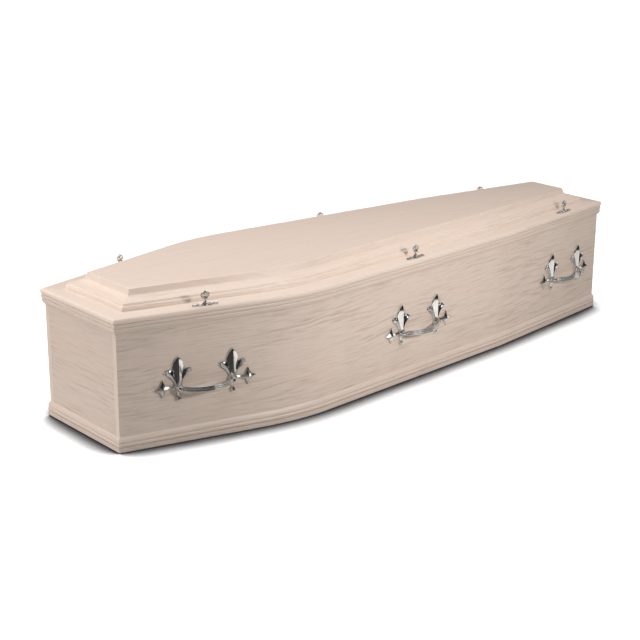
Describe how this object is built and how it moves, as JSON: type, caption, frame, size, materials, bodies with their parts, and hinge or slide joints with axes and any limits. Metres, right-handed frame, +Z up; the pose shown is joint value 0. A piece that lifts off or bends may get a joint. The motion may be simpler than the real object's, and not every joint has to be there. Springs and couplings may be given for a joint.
{
  "type": "wooden coffin",
  "caption": "Tapered coffin of pale limed oak with bent shoulders, reeded mouldings, a raised panelled lid, fleur-de-lis bar handles and ornamental lid screws.",
  "frame": {"origin": "on the floor, in the middle of the coffin's length and width", "axes": "+X towards the foot end, +Z up, +Y towards the left of a person lying in it"},
  "size_m": [1.949, 0.6158, 0.412],
  "materials": {
    "oak_boards": "limed oak veneer, satin",
    "oak_lid": "limed oak veneer, satin",
    "oak_mouldings": "limed oak, satin",
    "nickel_handles": "polished nickel plate",
    "nickel_screws": "polished nickel plate"
  },
  "bodies": {
    "root": {"base_board": "oak_mouldings", "side_board_right": "oak_boards", "side_board_left": "oak_boards", "end_board_head": "oak_boards", "end_board_foot": "oak_boards", "plinth_moulding_right": "oak_mouldings", "plinth_moulding_left": "oak_mouldings", "plinth_moulding_head": "oak_mouldings", "plinth_moulding_foot": "oak_mouldings", "cornice_moulding_right": "oak_mouldings", "cornice_moulding_left": "oak_mouldings", "cornice_moulding_head": "oak_mouldings", "cornice_moulding_foot": "oak_mouldings", "lid_border": "oak_lid", "lid_frame_right": "oak_lid", "lid_frame_left": "oak_lid", "lid_frame_head": "oak_lid", "lid_frame_foot": "oak_lid", "lid_panel": "oak_lid", "handle_bar_right_head": "nickel_handles", "handle_plate_right_head_headward": "nickel_handles", "handle_plate_right_head_footward": "nickel_handles", "handle_bar_right_middle": "nickel_handles", "handle_plate_right_middle_headward": "nickel_handles", "handle_plate_right_middle_footward": "nickel_handles", "handle_bar_right_foot": "nickel_handles", "handle_plate_right_foot_headward": "nickel_handles", "handle_plate_right_foot_footward": "nickel_handles", "handle_bar_left_head": "nickel_handles", "handle_plate_left_head_headward": "nickel_handles", "handle_plate_left_head_footward": "nickel_handles", "handle_bar_left_middle": "nickel_handles", "handle_plate_left_middle_headward": "nickel_handles", "handle_plate_left_middle_footward": "nickel_handles", "handle_bar_left_foot": "nickel_handles", "handle_plate_left_foot_headward": "nickel_handles", "handle_plate_left_foot_footward": "nickel_handles", "screw_plate_right_head": "nickel_screws", "thumbscrew_right_head": "nickel_screws", "screw_plate_right_middle": "nickel_screws", "thumbscrew_right_middle": "nickel_screws", "screw_plate_right_foot": "nickel_screws", "thumbscrew_right_foot": "nickel_screws", "screw_plate_left_head": "nickel_screws", "thumbscrew_left_head": "nickel_screws", "screw_plate_left_middle": "nickel_screws", "thumbscrew_left_middle": "nickel_screws", "screw_plate_left_foot": "nickel_screws", "thumbscrew_left_foot": "nickel_screws"}
  },
  "joints": []
}
